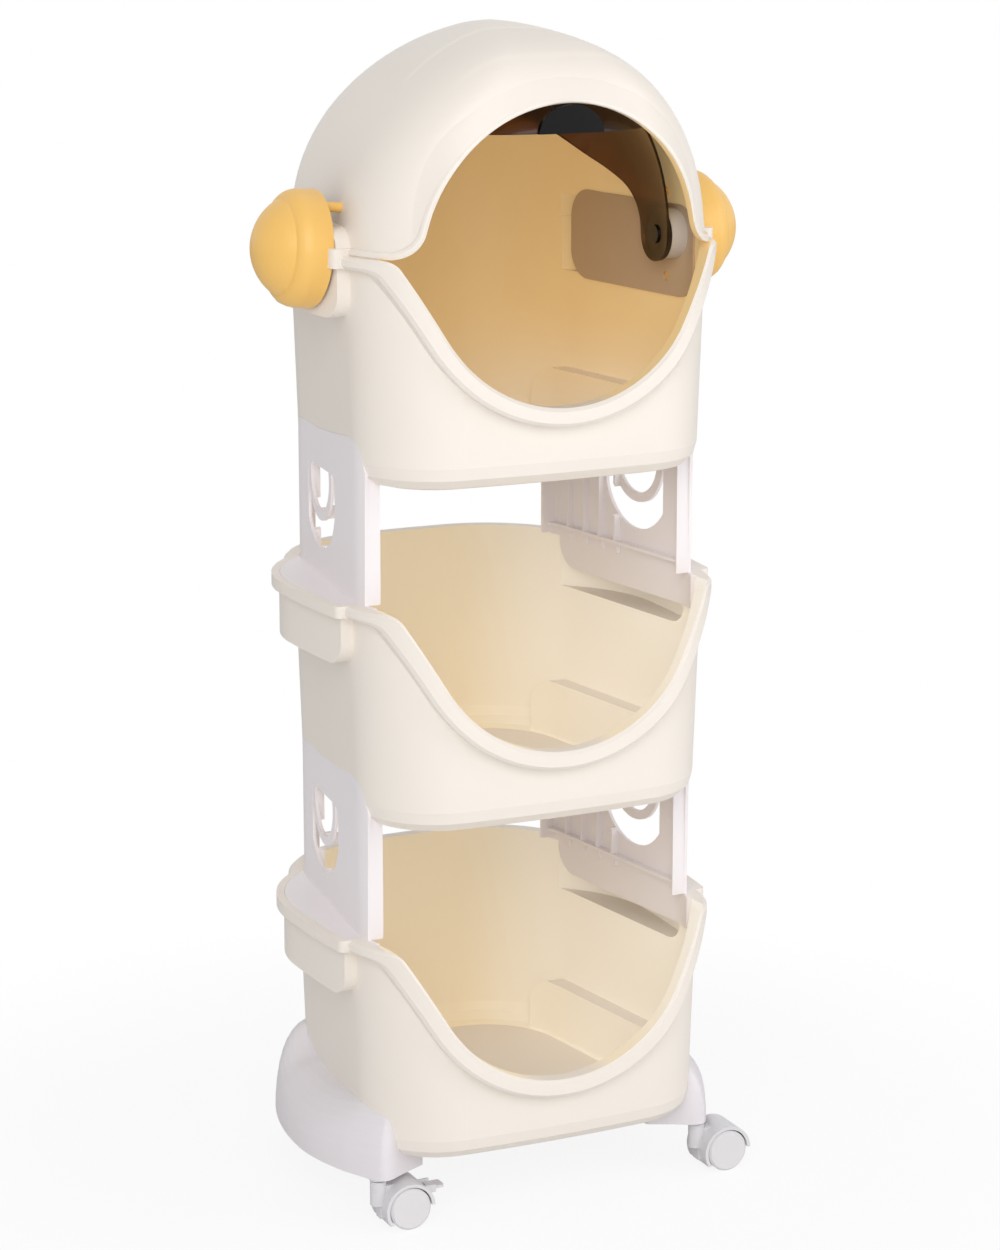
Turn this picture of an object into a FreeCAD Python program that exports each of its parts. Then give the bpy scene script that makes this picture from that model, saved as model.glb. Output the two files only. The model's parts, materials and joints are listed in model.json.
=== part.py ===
import FreeCAD, Part
import math
import os
from FreeCAD import Vector

# Toy storage unit, all lengths in millimetres
# X runs to the object's right, minus Y is the front, Z is up, origin on the floor in the middle

# Plan of a bin, the same arcs at every level
FRONT_HALF = 170.0
REAR_HALF = 146.5
HALF_DEPTH = 180.3
FRONT_CORNER_R = 79.0
REAR_CORNER_R = 104.5
FRONT_BOW_R = 1500.0
REAR_BOW_R = 900.0

# Tiers
RIM_1 = 270.5
PITCH = 312.0
BIN_HEIGHT = 205.0
WALL = 3.0
FLOOR = 3.0
DRAFT = 4.0
BASE_R = 22.0
BASE_BANDS = 3
TIER_NAMES = ("bottom_bin", "middle_bin", "top_bin")

# Scoop in the front wall and the lip round it
SCOOP_R = 133.5
SCOOP_LEAN = math.radians(30.0)
SHOULDER_R = 14.0
LIP_OUT = 11.5
LIP_TALL = 11.0
LIP_WIDE = 16.5
LIP_BEVEL = 3.0
LIP_HEEL_R = 12.0

# Side pockets of the bins
POCKET_OUT = 188.0
POCKET_PEAK_Y = 10.0
POCKET_FRONT_BOW_R = 975.0
POCKET_REAR_BOW_R = 127.0
POCKET_FRONT_Y = -98.0
POCKET_DEPTH = 57.0
POCKET_CORNER_R = 22.0
POCKET_LIP = 7.0
POCKET_NOSE_R = 6.5
POCKET_OVERRUN = 25.0
PEG_HOLE_R = 4.5

# Recess low in each side wall, where the next support slots in
RECESS_IN = 16.0
RECESS_FLOOR_GAP = 10.0
RECESS_TOP = ((104.0, 28.0), (82.0, 31.0), (28.0, 31.0), (-24.0, 35.0), (-75.0, 41.0), (-98.0, 39.0),
              (-108.0, 31.0), (-114.0, 12.5))
BLOCK_RISE = 27.0
BLOCK_FRONT_Y = -126.0
BLOCK_BACK_Y = 118.0
RECESS_CORNER_R = 5.0

# Helmet dome
DOME_RISE = 194.0
DOME_SIDE_POWER = 2.164
DOME_SIDE_SHARE = 0.6
DOME_FRONT_POWER = 10.0
DOME_FRONT_SHARE = 0.5556
CROWN_SHIFT = 26.0
CROWN_SHIFT_POWER = 1.88
DOME_STEPS = (0.0, 0.1, 0.24, 0.40, 0.56, 0.70, 0.82, 0.91, 0.965, 0.993)
PLAN_STEPS = 28
DOME_R = 131.5
DOME_LEAN = math.radians(14.0)
DOME_SHOULDER_R = 30.0
DOME_LIP_OUT = 4.7
DOME_LIP_TALL = 6.0
DOME_LIP_WIDE = 5.0
DOME_LIP_BEVEL = 1.5
DOME_HEEL_R = 25.0
DOME_GAP = 1.0
HOOD_RISE = 22.0
HOOD_CORNER_R = 20.0

# Visor, drawn raised, turning on pins inside the dome
PIVOT_Y = -75.0
PIVOT_Z = 894.0
VISOR_R = 155.0
VISOR_HALF = 146.0
VISOR_POWER = 3.0
VISOR_T = 2.4
VISOR_PROFILE_STEPS = 10
ARM_R = 25.0
ARM_T = 3.0
VISOR_FRONT_Y = -99.5
VISOR_EDGE_Z = 1000.5
VISOR_BACK = ((35.0, 1006.0, 6.0), (24.0, 968.0, 60.0), (-46.0, 926.0, 50.0))
TAB_HALF = 31.0
TAB_TALL = 24.5
TAB_FRONT_Y = -190.5
TAB_T = 5.0
PIN_R = 6.0
PIN_HEAD_R = 8.5
PIN_HEAD_T = 1.6
PIN_DEEP = 11.0
TURN_SLIP = 0.05
WASHER_R = 24.0
WASHER_T = 1.6
BOSS_R = 23.0

# Plates inside the seam
PLATE_T = 2.5
PLATE_FRONT_Y = -110.0
PLATE_BACK_Y = 90.0
PLATE_LOW = 836.0
PLATE_HIGH = 921.0
PLATE_CORNER_R = 27.0

# Ear caps
EAR_Y = -43.0
EAR_Z = 895.0
EAR_TILT = 5.0
EAR_TILT_X = 190.0
EAR_BASE_X = 184.0
EAR_RING_R = 52.7
EAR_PEG_Y = -64.0
EAR_PEG_OFFSET = 39.0
EAR_WALL = 3.0
EAR_RING = ((200.0, 52.2), (208.0, 49.6), (213.0, 45.0))
EAR_GROOVE = (214.5, 42.0)
EAR_CROWN = (216.0, 41.5)
EAR_APEX_X = 238.0
EAR_PEG_END = 159.0
EAR_PEG_TOP = 210.0

# Supports between the tiers
POST_OUT = 4.0
POST_T = 3.0
POST_FRONT_Y = -112.0
POST_BACK_Y = 112.0
POST_FLANGE = 15.0
TONGUE_DROP = 33.0
TONGUE_FRONT_Y = -124.0
TONGUE_BACK_Y = 103.0
TONGUE_CORNER_R = 25.0
LEDGE_T = 3.0
LEDGE_SEAT = 0.7
SHELF_RISE = 7.0
SHELF_T = 3.0
SHELF_OUT = 7.0
POST_RIBS_Y = (82.0, 55.0, 29.0, 3.0)
POST_RIB_T = 2.6
POST_RIB_OUT = 6.0
WINDOW_R = 52.0
WINDOW_RISE = 78.0
WINDOW_Y = 24.0
WINDOW_FLAT = 42.0
WINDOW_TOP = 102.0
WINDOW_BACK = 50.0
BAR_R = 40.0
BAR_T = 9.0
BAR_LIFT = 14.0

# Side feet: plan at the bottom edge on the right, then the height of the top along Y
FOOT_LOW = 50.0
FOOT_INNER_X = 118.0
FOOT_PLAN = ((118.0, -126.0), (127.0, -130.3), (135.5, -134.5), (145.0, -139.5), (154.0, -144.8), (161.5, -147.6),
             (167.8, -146.4), (172.6, -141.0), (178.2, -131.5), (183.7, -120.5), (188.8, -110.0), (193.5, -97.0),
             (197.6, -84.0), (200.9, -70.0), (203.5, -54.0), (204.5, -35.0), (203.7, -14.0), (201.7, 6.0),
             (197.8, 28.0), (192.2, 50.0), (184.8, 72.0), (175.8, 93.0), (166.0, 112.0), (157.0, 127.0),
             (150.0, 136.0), (142.0, 142.3), (132.0, 145.5), (118.0, 146.0), (118.0, 112.0), (118.0, 78.0),
             (118.0, 44.0), (118.0, 10.0), (118.0, -24.0), (118.0, -58.0), (118.0, -92.0))
FOOT_HEIGHT = ((-200.0, 122.0), (-128.0, 122.0), (-104.0, 120.0), (-75.0, 113.0), (-44.0, 107.0), (0.0, 101.0),
               (28.0, 99.5), (78.0, 100.0), (104.0, 120.0), (200.0, 120.0))
FOOT_STEPS = (0.0, 0.16, 0.32, 0.46, 0.58, 0.69, 0.79, 0.87, 0.93, 0.975, 1.0)
FOOT_POWER = 2.5
FOOT_DRAW = 0.85
FOOT_SPINE_HALF = 95.0
FOOT_SHELL = 4.0
FOOT_HOLLOW_PEAK = 190.0
FOOT_HOLLOW_BOW_R = 240.0
FOOT_HOLLOW_Y = -20.0
FOOT_HOLLOW_FRONT_Y = -110.0
FOOT_HOLLOW_BACK_Y = 98.0
FOOT_HOLLOW_TOP = 61.0

# Casters
STEM_FRONT = (166.0, -134.0)
STEM_REAR = (142.0, 120.0)
STEM_R = 5.0
SOCKET_R = 7.5
SOCKET_FLANGE_R = 8.6
SOCKET_LOW = 48.0
SOCKET_HIGH = 74.0
STEM_TOP = 69.0
STEM_LOW = 28.0
WHEEL_R = 20.0
WHEEL_IN = 5.5
WHEEL_OUT = 19.5
WHEEL_BEVEL = 2.0
TRAIL = 25.0
AXLE_R = 3.0
AXLE_HALF = 15.0
HOOD_IN_R = 21.2
HOOD_OUT_R = 24.4
HOOD_HALF = 19.0
HOOD_WEB = 4.9
HOOD_LOW = 10.0
HOOD_BACK_LOW = 21.0
HOOD_FRONT_LOW = 7.0
HOOD_BOSS_R = 7.5
HOOD_TOP = 46.5
LEVER_HALF = 7.0
LEVER_LONG = 13.0
LEVER_T = 2.6
LEVER_X = 25.5
LEVER_Z = 32.5
KNUCKLE_R = 2.3
LEVER_PIN_R = 1.4
EAR_IN = 7.3
EAR_OUT = 9.3
EAR_REACH = 9.0
EAR_HALF_TALL = 3.6
BRAKED = ("front_left", "rear_right")

# The two notches: radius, lean of the flanks from upright, radius at the rim
SCOOP = (SCOOP_R, SCOOP_LEAN, SHOULDER_R)
DOME_NOTCH = (DOME_R, DOME_LEAN, DOME_SHOULDER_R)

# Reach of the cutting bodies beyond the walls
REACH = 260.0
SLIP = 0.3
POCKET_END_SHARE = 0.88
POCKET_INNER_X = 105.0
EDGE_SHARES = (0.1, 0.5, 0.9)


def vec(x, y, z):
    return Vector(x, y, z)


def plan_angles():
    """The tilt of the side lines and the corner centres that make every joint of the plan smooth."""
    tilt = math.atan2(FRONT_HALF - REAR_HALF, 2 * HALF_DEPTH - FRONT_CORNER_R - REAR_CORNER_R)
    nx, ny = math.cos(tilt), math.sin(tilt)
    front_y = FRONT_BOW_R - HALF_DEPTH
    rear_y = HALF_DEPTH - REAR_BOW_R
    rear_x = REAR_HALF - REAR_CORNER_R
    rear_cy = rear_y + math.sqrt((REAR_BOW_R - REAR_CORNER_R) ** 2 - rear_x ** 2)
    gap = nx * rear_x + ny * rear_cy + REAR_CORNER_R - FRONT_CORNER_R - ny * front_y
    turn = tilt + math.asin(gap / (FRONT_BOW_R - FRONT_CORNER_R))
    front_x = (FRONT_BOW_R - FRONT_CORNER_R) * math.sin(turn)
    front_cy = front_y - (FRONT_BOW_R - FRONT_CORNER_R) * math.cos(turn)
    rear_turn = math.atan2(rear_x, rear_cy - rear_y)
    return tilt, turn, rear_turn, front_y, rear_y, (front_x, front_cy), (rear_x, rear_cy)


def arc_edge(centre, radius, start, end, z):
    """An arc round a vertical axis, from one bearing to another."""
    points = []
    for angle in (start, (start + end) / 2, end):
        points.append(vec(centre[0] + radius * math.cos(angle), centre[1] + radius * math.sin(angle), z))
    return Part.Arc(*points).toShape()


def plan_wire(offset, z):
    """The plan outline moved out by an offset, at one level."""
    tilt, turn, rear_turn, front_y, rear_y, front, rear = plan_angles()
    quarter = math.pi / 2
    mirrored_front = (-front[0], front[1])
    mirrored_rear = (-rear[0], rear[1])
    edges = [arc_edge((0, front_y), FRONT_BOW_R + offset, -quarter - turn, -quarter + turn, z),
             arc_edge(front, FRONT_CORNER_R + offset, -quarter + turn, tilt, z)]
    right = arc_edge(rear, REAR_CORNER_R + offset, tilt, quarter - rear_turn, z)
    left = arc_edge(mirrored_rear, REAR_CORNER_R + offset, quarter + rear_turn, math.pi - tilt, z)
    left_front = arc_edge(mirrored_front, FRONT_CORNER_R + offset, math.pi - tilt, 3 * quarter - turn, z)
    edges.append(Part.makeLine(edges[1].Vertexes[-1].Point, right.Vertexes[0].Point))
    edges.append(right)
    edges.append(arc_edge((0, rear_y), REAR_BOW_R + offset, quarter - rear_turn, quarter + rear_turn, z))
    edges.append(left)
    edges.append(Part.makeLine(left.Vertexes[-1].Point, left_front.Vertexes[0].Point))
    edges.append(left_front)
    return Part.Wire(edges)


def plan_solid(offset, low, high):
    """A straight-sided body on the plan outline."""
    return Part.Face(plan_wire(offset, low)).extrude(vec(0, 0, high - low))


def tub(offset, rim, low, radius):
    """A body that is straight beside the pockets, then narrows to a base rounded in narrow bands."""
    knee = rim - POCKET_DEPTH
    wires = []
    for band in range(BASE_BANDS + 1):
        turn = math.pi / 2 * band / BASE_BANDS
        wires.append(plan_wire(offset - DRAFT - radius * (1 - math.sin(turn)), low + radius * (1 - math.cos(turn))))
    wires.append(plan_wire(offset, knee))
    return Part.makeLoft(wires, True, True).fuse(plan_solid(offset, knee, rim))


def outline(points, place):
    """A closed outline; each point gives two coordinates and the radius of its corner."""
    count = len(points)
    corners = []
    for i, (a, b, radius) in enumerate(points):
        here = vec(a, b, 0)
        before = vec(points[i - 1][0], points[i - 1][1], 0).sub(here).normalize()
        after = vec(points[(i + 1) % count][0], points[(i + 1) % count][1], 0).sub(here).normalize()
        half = before.getAngle(after) / 2
        cut = radius / math.tan(half)
        middle = here
        if radius > 0:
            middle = here + (before + after).normalize() * (radius / math.sin(half) - radius)
        corners.append((here + before * cut, middle, here + after * cut, radius))
    edges = []
    for i, (start, middle, end, radius) in enumerate(corners):
        if radius > 0:
            edges.append(Part.Arc(place(start), place(middle), place(end)).toShape())
        ahead = corners[(i + 1) % count][0]
        if end.distanceToPoint(ahead) > TURN_SLIP:
            edges.append(Part.makeLine(place(end), place(ahead)))
    return Part.Face(Part.Wire(edges))


def side_prism(points, near, far):
    """A side-view outline of Y and Z run across the object between two X values."""
    return outline(points, lambda p: vec(near, p.x, p.y)).extrude(vec(far - near, 0, 0))


def slab(x, y, z):
    """A box between pairs of X, Y and Z values."""
    return Part.makeBox(x[1] - x[0], y[1] - y[0], z[1] - z[0], vec(x[0], y[0], z[0]))


def rod_x(radius, near, far, y, z):
    return Part.makeCylinder(radius, far - near, vec(near, y, z), vec(1, 0, 0))


def rod_y(radius, near, far, x, z):
    return Part.makeCylinder(radius, far - near, vec(x, near, z), vec(0, 1, 0))


def rod_z(radius, low, high, x, y):
    return Part.makeCylinder(radius, high - low, vec(x, y, low))


def mirrored(shape):
    return shape.mirror(vec(0, 0, 0), vec(1, 0, 0))


def opening(radius, lean, shoulder, level, reach, rim, up):
    """A round notch run through the front wall; straight flanks leave the circle and turn into the rim."""
    sine, cosine = math.sin(lean), math.cos(lean)
    x = (radius + shoulder - (level + shoulder) * sine) / cosine
    leave = (radius * cosine, radius * sine)
    touch = (x - shoulder * cosine, level + shoulder - shoulder * sine)
    half = (lean + math.pi / 2) / 2
    middle = (x - shoulder * math.cos(half), level + shoulder - shoulder * math.sin(half))

    def at(a, b):
        return vec(a, -REACH, rim + up * b)

    edges = [Part.Arc(at(-x, level), at(-middle[0], middle[1]), at(-touch[0], touch[1])).toShape(),
             Part.makeLine(at(-touch[0], touch[1]), at(-leave[0], leave[1])),
             Part.Arc(at(-leave[0], leave[1]), at(0, radius), at(*leave)).toShape(),
             Part.makeLine(at(*leave), at(*touch)),
             Part.Arc(at(*touch), at(*middle), at(x, level)).toShape(),
             Part.makeLine(at(x, level), at(x, -reach)),
             Part.makeLine(at(x, -reach), at(-x, -reach)),
             Part.makeLine(at(-x, -reach), at(-x, level))]
    return Part.Face(Part.Wire(edges)).extrude(vec(0, REACH + POCKET_FRONT_Y, 0))


def bulge(peak, peak_y, front_r, rear_r, front_y, back_y, inner_x, corner, low, high):
    """A body whose outer side bows out, on the object's right."""
    front_c = (peak - front_r, peak_y)
    rear_c = (peak - rear_r, peak_y)
    start = math.asin((front_y - peak_y) / front_r)
    end = math.asin((back_y - peak_y) / rear_r)
    front_edge = arc_edge(front_c, front_r, start, 0, low)
    rear_edge = arc_edge(rear_c, rear_r, 0, end, low)
    first = front_edge.Vertexes[0].Point
    last = rear_edge.Vertexes[-1].Point
    edges = [front_edge, rear_edge,
             Part.makeLine(last, vec(inner_x, back_y, low)),
             Part.makeLine(vec(inner_x, back_y, low), vec(inner_x, front_y, low)),
             Part.makeLine(vec(inner_x, front_y, low), first)]
    body = Part.Face(Part.Wire(edges)).extrude(vec(0, 0, high - low))
    if corner > 0:
        posts = [e for e in body.Edges if e.BoundBox.ZLength > SLIP and e.BoundBox.XMin > inner_x + corner
                 and min(abs(e.BoundBox.YMin - front_y), abs(e.BoundBox.YMin - back_y)) < SLIP]
        body = body.makeFillet(corner, posts)
    return body


def pocket(offset, low, high, corner=0.0, overrun=0.0):
    """The outline of a side pocket, moved out by an offset, between two levels."""
    return bulge(POCKET_OUT + offset, POCKET_PEAK_Y, POCKET_FRONT_BOW_R + offset, POCKET_REAR_BOW_R + offset,
                 POCKET_FRONT_Y - offset - overrun, POCKET_PEAK_Y + POCKET_REAR_BOW_R * POCKET_END_SHARE,
                 POCKET_INNER_X, corner, low, high)


def bay(offset, rim, depth, corner, up):
    """A side pocket below or above the rim, with a round front corner in side view."""
    edge = rim + up * (depth + offset)
    points = [(POCKET_FRONT_Y - offset, rim, 0), (POCKET_FRONT_Y - offset, edge, corner), (REACH, edge, 0),
              (REACH, rim, 0)]
    outline_body = pocket(offset, min(rim, edge) - SLIP, max(rim, edge) + SLIP, 0.0, POCKET_OVERRUN)
    return outline_body.common(side_prism(points, POCKET_INNER_X, REACH))


def touches_plan(edge, offset):
    """Whether an edge lies on the plan outline moved out by an offset and isn't a seam between its arcs."""
    if edge.BoundBox.XLength < SLIP and edge.BoundBox.YLength < SLIP:
        return False
    first, last = edge.ParameterRange
    for share in EDGE_SHARES:
        point = edge.valueAt(first + (last - first) * share)
        if plan_wire(offset, point.z).distToShape(Part.Vertex(point))[0] > SLIP:
            return False
    return True


def lip(rim, up, notch, out, tall, wide, heel, bevel):
    """The lip along a rim and round the opening in the front wall, with its outer edges bevelled."""
    radius, lean, shoulder = notch
    band = plan_solid(out, rim, rim + up * (radius + wide)).common(
        opening(radius + wide, lean, heel, tall, 0, rim, up))
    body = plan_solid(out, rim, rim + up * tall).fuse(band).removeSplitter()
    body = body.cut(opening(radius, lean, shoulder, 0, tall, rim, up)).removeSplitter()
    return body.makeChamfer(bevel, [e for e in body.Edges if touches_plan(e, out)])


def recess_outline(grow, low):
    """The side view of the recess, or of what goes into it."""
    points = [(POST_BACK_Y + grow, low + RECESS_TOP[0][1] + grow, RECESS_CORNER_R)]
    points += [(y, low + z + grow, RECESS_CORNER_R) for y, z in RECESS_TOP[1:]]
    return points


def recess(grow, low, depth, bottom):
    """The space low in the right side wall, where a support slots in."""
    points = recess_outline(grow, low)
    points += [(POST_FRONT_Y - grow, low + bottom, 0), (POST_BACK_Y + grow, low + bottom, 0)]
    band = plan_solid(LIP_OUT, low + bottom, low + POCKET_DEPTH).cut(
        plan_solid(-DRAFT - depth, low + bottom, low + POCKET_DEPTH))
    return band.common(side_prism(points, 0, REACH))


def block(low):
    """The raised block inside the right side wall that backs the recess."""
    high = low + RECESS_TOP[4][1] + BLOCK_RISE - RECESS_FLOOR_GAP
    points = [(BLOCK_FRONT_Y, low, 0), (BLOCK_FRONT_Y, high, TONGUE_CORNER_R), (BLOCK_BACK_Y, high, TONGUE_CORNER_R),
              (BLOCK_BACK_Y, low, 0)]
    band = plan_solid(-DRAFT, low, high).cut(plan_solid(-DRAFT - RECESS_IN - WALL, low, high))
    return band.common(side_prism(points, 0, REACH))


def ear_tilted(shape):
    """A shape of the right ear cap, leaned so that its top is nearer the dome."""
    shape.rotate(vec(EAR_TILT_X, EAR_Y, EAR_Z), vec(0, 1, 0), -EAR_TILT)
    return shape


def ear_peg(radius, end, side):
    """A peg of the right ear cap, or the hole for it; side is 1 for the upper peg, minus 1 for the lower."""
    return ear_tilted(rod_x(radius, end, EAR_PEG_TOP, EAR_PEG_Y, EAR_Z + side * EAR_PEG_OFFSET))


def bin_body(rim, pegs):
    """One storage bin: drafted walls, side pockets, a lip, the front scoop and side recesses."""
    low = rim - BIN_HEIGHT
    outer = tub(0, rim, low, BASE_R)
    side = bay(0, rim, POCKET_DEPTH, POCKET_CORNER_R, -1)
    rim_side = pocket(POCKET_LIP, rim - LIP_TALL, rim, POCKET_NOSE_R)
    hollow = bay(-WALL, rim, POCKET_DEPTH, POCKET_CORNER_R - WALL, -1)
    seat = pocket(-LEDGE_SEAT, rim - LEDGE_T, rim)
    rims = lip(rim, -1, SCOOP, LIP_OUT, LIP_TALL, LIP_WIDE, LIP_HEEL_R, LIP_BEVEL)
    outer = outer.fuse([rims, side, mirrored(side), rim_side, mirrored(rim_side)])
    inner = tub(-WALL, rim, low + FLOOR, BASE_R - WALL)
    inner = inner.cut([block(low), mirrored(block(low))])
    hole = recess(0, low, RECESS_IN, -SLIP)
    away = [inner, hole, mirrored(hole), hollow, mirrored(hollow), seat, mirrored(seat),
            opening(*SCOOP, 0, LIP_TALL, rim, -1)]
    if pegs:
        peg = ear_peg(PEG_HOLE_R, POCKET_INNER_X, -1)
        away += [peg, mirrored(peg)]
    return outer.cut(away).removeSplitter()


def dome_wire(share, offset, base):
    """One level section of the dome, from the plan scaled apart for the sides, the front and the back."""
    rise = (DOME_RISE + offset) * share
    side = (1 - share ** DOME_SIDE_POWER) ** DOME_SIDE_SHARE
    front = (1 - share ** DOME_FRONT_POWER) ** DOME_FRONT_SHARE
    shift = -CROWN_SHIFT * share ** CROWN_SHIFT_POWER
    front_scale = front + shift / HALF_DEPTH
    outline_wire = plan_wire(offset, base)
    points = []
    for point in outline_wire.discretize(Number=PLAN_STEPS + 1)[:-1]:
        scale = side if point.y > 0 else front_scale
        points.append(vec(point.x * side, point.y * scale + shift, base + rise))
    curve = Part.BSplineCurve()
    curve.interpolate(Points=points, PeriodicFlag=True, Parameters=[float(i) for i in range(PLAN_STEPS + 1)])
    return Part.Wire(curve.toShape())


def dome_solid(offset, base):
    """The dome filled in, moved out by an offset."""
    sections = [dome_wire(share, offset, base) for share in DOME_STEPS]
    sections.append(Part.Vertex(0, -CROWN_SHIFT, base + DOME_RISE + offset))
    return Part.makeLoft(sections, True, False)


def dome_parts(base):
    """The dome's outer body with its lips and pockets, and the space inside it."""
    side = bay(0, base, HOOD_RISE, HOOD_CORNER_R, 1)
    rim_side = pocket(POCKET_LIP, base, base + DOME_LIP_TALL, POCKET_NOSE_R)
    hollow = bay(-WALL, base, HOOD_RISE, HOOD_CORNER_R - WALL, 1)
    lips = lip(base, 1, DOME_NOTCH, DOME_LIP_OUT, DOME_LIP_TALL, DOME_LIP_WIDE, DOME_HEEL_R, DOME_LIP_BEVEL)
    outer = dome_solid(0, base).fuse([lips, side, mirrored(side), rim_side, mirrored(rim_side)])
    inner = dome_solid(-WALL, base).fuse([hollow, mirrored(hollow)])
    return outer, inner


def dome_body(outer, inner, base):
    """The helmet dome: a shell with a round opening in front and holes for the upper ear pegs."""
    peg = ear_peg(PEG_HOLE_R, POCKET_INNER_X, 1)
    away = [inner, peg, mirrored(peg), opening(*DOME_NOTCH, 0, DOME_LIP_TALL, base, 1)]
    return outer.cut(away).removeSplitter()


def visor_body():
    """The visor: a thin bubble turned about the pin line, trimmed to a shield with two arms and a tab."""
    shells = []
    for inset in (0, VISOR_T):
        points = []
        for step in range(VISOR_PROFILE_STEPS + 1):
            turn = math.pi * step / VISOR_PROFILE_STEPS
            x = abs(math.cos(turn)) ** (2 / VISOR_POWER) * (VISOR_HALF - inset)
            z = PIVOT_Z + (VISOR_R - inset) * math.sin(turn)
            points.append(vec(math.copysign(x, math.cos(turn)), PIVOT_Y, z))
        curve = Part.BSplineCurve()
        curve.interpolate(points)
        axis = Part.makeLine(points[-1], points[0])
        face = Part.Face(Part.Wire([curve.toShape(), axis]))
        shells.append(face.revolve(vec(0, PIVOT_Y, PIVOT_Z), vec(1, 0, 0), math.degrees(2 * math.pi)))
    front = [(VISOR_FRONT_Y, PIVOT_Z - ARM_R, ARM_R - SLIP),
             (VISOR_FRONT_Y, VISOR_EDGE_Z, 12), (-REACH, VISOR_EDGE_Z, 0), (-REACH, PIVOT_Z + REACH, 0)]
    mask = side_prism(front + [(VISOR_BACK[0][0], PIVOT_Z + REACH, 0)] + list(VISOR_BACK)
                      + [(PIVOT_Y + ARM_R, PIVOT_Z - ARM_R, ARM_R - SLIP)], -REACH, REACH)
    shield = shells[0].cut(shells[1]).common(mask)
    for side in (-1, 1):
        near = min(side * VISOR_HALF, side * (VISOR_HALF - ARM_T))
        shield = shield.fuse(rod_x(ARM_R, near, near + ARM_T, PIVOT_Y, PIVOT_Z))
    tab = Part.Ellipse(vec(0, TAB_FRONT_Y, VISOR_EDGE_Z), TAB_HALF, TAB_TALL)
    tab.rotate(FreeCAD.Placement(vec(0, TAB_FRONT_Y, VISOR_EDGE_Z), vec(1, 0, 0), math.degrees(math.pi / 2)))
    arc = Part.ArcOfEllipse(tab, 0, math.pi).toShape()
    base = Part.makeLine(arc.Vertexes[-1].Point, arc.Vertexes[0].Point)
    grip = Part.Face(Part.Wire([arc, base])).extrude(vec(0, TAB_T, 0))
    bore = rod_x(PIN_R + TURN_SLIP, -REACH, REACH, PIVOT_Y, PIVOT_Z)
    return shield.fuse(grip).cut(bore).removeSplitter()


def visor_boss():
    """The round boss on the right plate that the visor's arm turns against, bored for the pin."""
    body = rod_x(BOSS_R, VISOR_HALF + SLIP + WASHER_T, REACH, PIVOT_Y, PIVOT_Z)
    body = body.common(plan_solid(-WALL - PLATE_T, PIVOT_Z - REACH, PIVOT_Z + REACH))
    return body.cut(rod_x(PIN_R, POCKET_INNER_X, VISOR_HALF + PIN_DEEP, PIVOT_Y, PIVOT_Z))


def visor_pin():
    """The right pin: a shank through the arm into the boss and a thin head inside the arm."""
    shank = rod_x(PIN_R, VISOR_HALF - ARM_T - SLIP, VISOR_HALF + PIN_DEEP, PIVOT_Y, PIVOT_Z)
    head = rod_x(PIN_HEAD_R, VISOR_HALF - ARM_T - SLIP - PIN_HEAD_T, VISOR_HALF - ARM_T - SLIP, PIVOT_Y, PIVOT_Z)
    return shank.fuse(head).removeSplitter()


def visor_washer():
    """The thin dark disc between the right arm and its boss."""
    disc = rod_x(WASHER_R, VISOR_HALF + SLIP, VISOR_HALF + SLIP + WASHER_T, PIVOT_Y, PIVOT_Z)
    return disc.cut(rod_x(PIN_R, VISOR_HALF, REACH, PIVOT_Y, PIVOT_Z))


def seam_plate(inside):
    """The plate that lines the right wall across the seam."""
    points = [(PLATE_FRONT_Y, PLATE_LOW, PLATE_CORNER_R), (PLATE_FRONT_Y, PLATE_HIGH, PLATE_CORNER_R),
              (PLATE_BACK_Y, PLATE_HIGH, PLATE_CORNER_R), (PLATE_BACK_Y, PLATE_LOW, PLATE_CORNER_R)]
    band = plan_solid(-WALL, PLATE_LOW, PLATE_HIGH).cut(plan_solid(-WALL - PLATE_T, PLATE_LOW, PLATE_HIGH))
    body = band.common(side_prism(points, 0, REACH)).common(inside)
    return body.cut(ear_peg(PEG_HOLE_R, POCKET_INNER_X, -1))


def ear_cap(away):
    """The stepped ear cap on the right: a turned cup with two pegs, cleared round the lips it covers."""
    cups = []
    for inset in (0, EAR_WALL):
        ring = [vec(x - inset, EAR_Y, EAR_Z + r - inset) for x, r in EAR_RING]
        groove = vec(EAR_GROOVE[0] - inset, EAR_Y, EAR_Z + EAR_GROOVE[1] - inset)
        crown = vec(EAR_CROWN[0] - inset, EAR_Y, EAR_Z + EAR_CROWN[1] - inset)
        apex = vec(EAR_APEX_X - inset, EAR_Y, EAR_Z)
        reach = (apex.x - crown.x + (crown.z - EAR_Z) ** 2 / (apex.x - crown.x)) / 2
        turn = math.atan2(crown.z - EAR_Z, crown.x - apex.x + reach) / 2
        middle = vec(apex.x - reach + reach * math.cos(turn), EAR_Y, EAR_Z + reach * math.sin(turn))
        base = vec(EAR_BASE_X, EAR_Y, EAR_Z)
        foot_ring = vec(EAR_BASE_X, EAR_Y, EAR_Z + EAR_RING_R - inset)
        edges = [Part.makeLine(base, foot_ring), Part.makeLine(foot_ring, ring[0]), Part.Arc(*ring).toShape(),
                 Part.makeLine(ring[2], groove), Part.makeLine(groove, crown),
                 Part.Arc(crown, middle, apex).toShape(), Part.makeLine(apex, base)]
        face = Part.Face(Part.Wire(edges))
        cups.append(face.revolve(vec(0, EAR_Y, EAR_Z), vec(1, 0, 0), math.degrees(2 * math.pi)))
    body = ear_tilted(cups[0].cut(cups[1])).cut(away)
    solids = sorted(body.Solids, key=lambda solid: solid.Volume)
    body = solids[-1]
    for side in (-1, 1):
        body = body.fuse(ear_peg(PEG_HOLE_R - TURN_SLIP, EAR_PEG_END, side))
    return body.removeSplitter()


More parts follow.
